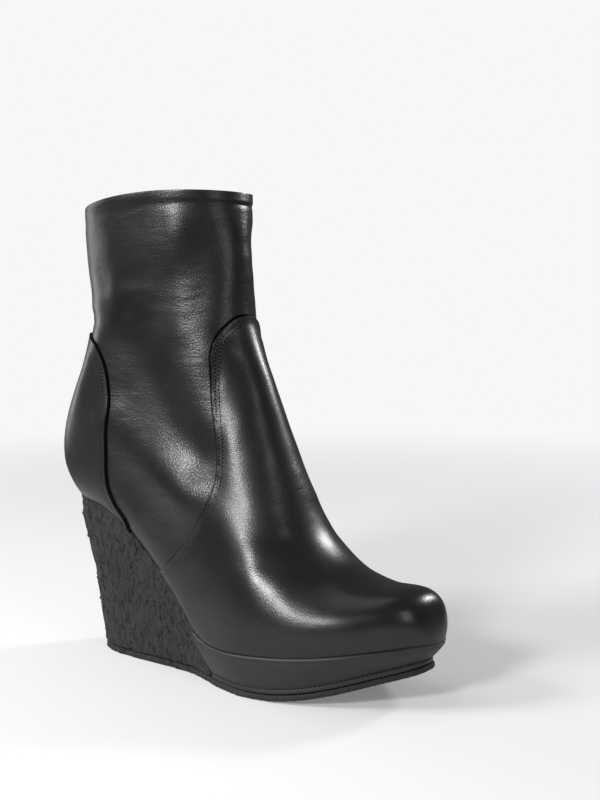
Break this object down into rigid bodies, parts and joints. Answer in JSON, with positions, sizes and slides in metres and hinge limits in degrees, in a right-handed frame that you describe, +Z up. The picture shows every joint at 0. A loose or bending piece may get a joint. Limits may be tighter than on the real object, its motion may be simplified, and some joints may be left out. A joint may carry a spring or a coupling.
{
  "type": "wedge ankle boot",
  "caption": "Right pull-on ankle boot in plain leather with a laid-over vamp and counter, on a covered platform and a tall rough wedge heel.",
  "frame": {"origin": "middle of the whole boot's box, on the floor it stands on", "axes": "+X towards the toe, +Y towards the inner side of the foot, +Z up"},
  "size_m": [0.2432, 0.0854, 0.2575],
  "materials": {
    "upper_leather": "smooth, satin, fine grain",
    "lining": "matt",
    "platform_cover": "smooth, semi-matt",
    "wedge_cover": "matt, rough, crackled",
    "outsole_rubber": "matt, rough edge"
  },
  "bodies": {
    "root": {"upper": "upper_leather", "vamp": "upper_leather", "counter": "upper_leather", "insole": "lining", "platform": "platform_cover", "wedge": "wedge_cover", "outsole": "outsole_rubber"}
  },
  "joints": []
}
